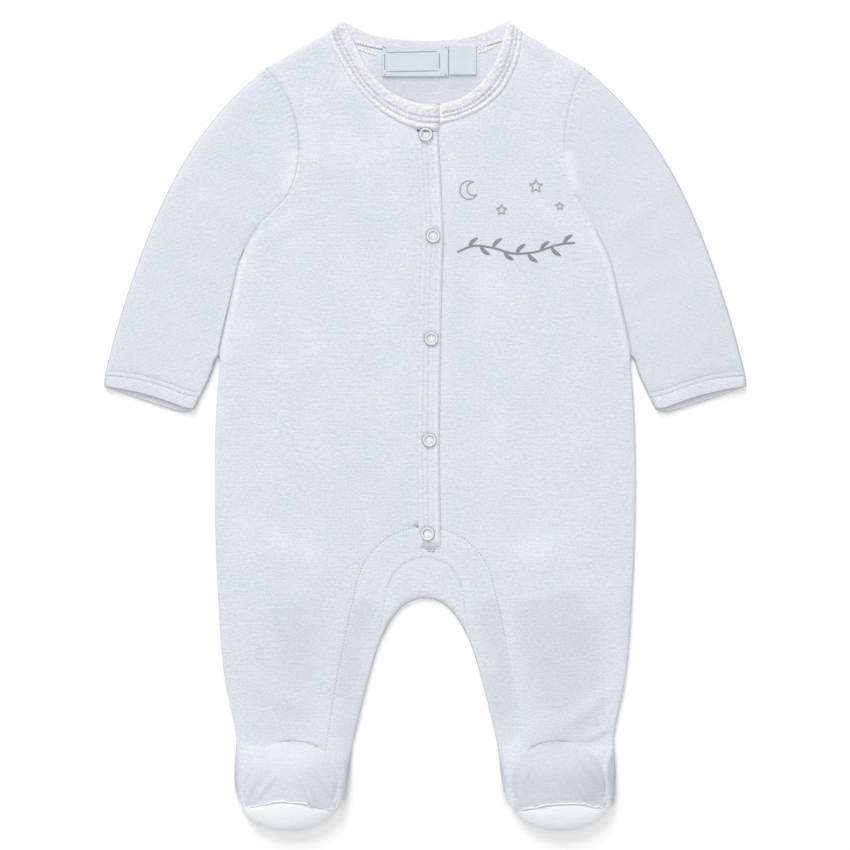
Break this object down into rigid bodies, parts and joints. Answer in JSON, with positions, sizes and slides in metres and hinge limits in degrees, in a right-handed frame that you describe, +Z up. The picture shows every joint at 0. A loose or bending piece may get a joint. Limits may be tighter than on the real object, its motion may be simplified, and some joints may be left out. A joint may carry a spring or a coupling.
{
  "type": "footed baby sleepsuit",
  "caption": "Pale velour baby sleepsuit with long sleeves, closed feet, a neckband and a front placket with ring snaps, laid flat.",
  "frame": {"origin": "on the surface that the garment lies on, under the middle of its bounding box", "axes": "+X towards the wearer's left, +Y from the feet towards the neck, +Z up off the surface, out of the garment's front"},
  "size_m": [0.4202, 0.5301, 0.0141],
  "materials": {
    "velour": "soft short-pile cotton velour, white with a cool cast",
    "trim": "folded velour strip with coverstitching",
    "sole": "smoother, whiter jersey-backed velour",
    "label": "woven satin tape, grey, left blank",
    "snap": "white enamelled open ring"
  },
  "bodies": {
    "root": {"back": "velour", "front_right": "velour", "front_left": "velour", "inner_leg_panel": "velour", "neckband": "trim", "placket": "trim", "neck_label": "label", "size_label": "label", "sleeve_right": "velour", "cuff_right": "trim", "foot_top_right": "velour", "sole_right": "sole", "sleeve_left": "velour", "cuff_left": "trim", "foot_top_left": "velour", "sole_left": "sole", "snap_1": "snap", "snap_2": "snap", "snap_3": "snap", "snap_4": "snap", "snap_5": "snap"}
  },
  "joints": []
}
